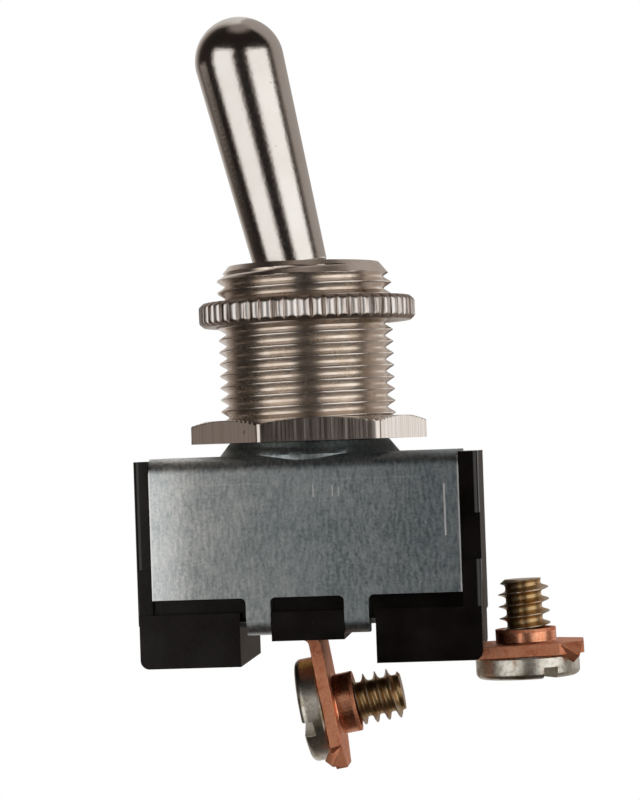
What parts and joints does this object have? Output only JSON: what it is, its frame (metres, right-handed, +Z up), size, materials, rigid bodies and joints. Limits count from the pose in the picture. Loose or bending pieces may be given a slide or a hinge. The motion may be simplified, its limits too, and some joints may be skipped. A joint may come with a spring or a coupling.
{
  "type": "panel toggle switch",
  "caption": "Panel toggle switch: a bat-handle lever in a threaded bushing with its nuts, on a folded steel frame over a moulded body with screw terminals.",
  "frame": {"origin": "on the bushing's axis, in the plane of the panel seat, which is the top of the hex nut", "axes": "+Z up the bushing towards the lever, +X towards the end terminal, -Y towards the face that the switch shows in the picture"},
  "size_m": [0.0289, 0.015, 0.0506],
  "materials": {
    "phenolic": "moulded black phenolic, slightly glossy",
    "zinc_steel": "zinc-plated steel, faint blue, fine spangle",
    "fibre": "vulcanised fibre sheet",
    "nickel_brass": "nickel-plated brass, slightly dulled",
    "nickel_nut": "nickel-plated, bright",
    "nickel_lever": "polished nickel plate",
    "steel_pin": "ground steel",
    "nylon": "moulded nylon",
    "spring_steel": "drawn spring wire",
    "contact_brass": "stamped brass",
    "contact_silver": "silver alloy",
    "copper": "copper-plated strip, bright on cut edges",
    "yellow_screw": "yellow-passivated, tarnished"
  },
  "bodies": {
    "switch_body": {"housing": "phenolic", "frame": "zinc_steel", "insulator": "fibre", "bushing": "nickel_brass", "fulcrum_saddle": "contact_brass", "centre_rivet": "contact_brass", "end_contact": "contact_silver", "centre_terminal": "copper", "end_terminal": "copper"},
    "lever": {"lever": "nickel_lever", "pivot_pin": "steel_pin", "plunger_spring": "spring_steel"},
    "plunger": {"plunger": "nylon"},
    "rocker": {"rocker": "contact_brass", "rocker_contact": "contact_silver"},
    "ring_nut": {"ring_nut": "nickel_nut"},
    "hex_nut": {"hex_nut": "nickel_nut"},
    "end_screw": {"end_screw": "yellow_screw"},
    "centre_screw": {"centre_screw": "yellow_screw"}
  },
  "joints": [
    {"name": "lever_tilt", "type": "hinge", "parent": "switch_body", "child": "lever", "pos_m": [0, 0, 0.0064], "axis": [0, 1, 0], "range_deg": [0, 24.4]},
    {"name": "rocker_tilt", "type": "hinge", "parent": "switch_body", "child": "rocker", "pos_m": [0, 0, -0.0092], "axis": [0, 1, 0], "range_deg": [-16, 0]},
    {"name": "plunger_slide", "type": "slide", "parent": "lever", "child": "plunger", "axis": [-0.2113, 0, 0.9774], "range_m": [0, 0.0012], "stiffness_N_per_m": 400, "springref_m": -0.003, "deforming": ["plunger_spring"]},
    {"name": "ring_nut_travel", "type": "slide", "parent": "switch_body", "child": "ring_nut", "axis": [0, 0, 1], "range_m": [-0.003, 0.0029]},
    {"name": "hex_nut_travel", "type": "slide", "parent": "switch_body", "child": "hex_nut", "axis": [0, 0, 1], "range_m": [0, 0.003]},
    {"name": "end_screw_travel", "type": "slide", "parent": "switch_body", "child": "end_screw", "axis": [0.0279, 0, -0.9996], "range_m": [0, 0.003]},
    {"name": "centre_screw_travel", "type": "slide", "parent": "switch_body", "child": "centre_screw", "axis": [-0.9857, 0, -0.1685], "range_m": [0, 0.003]}
  ],
  "couplings": [
    {"joint": "rocker_tilt", "follows": "lever_tilt", "ratio": -0.6557}
  ]
}
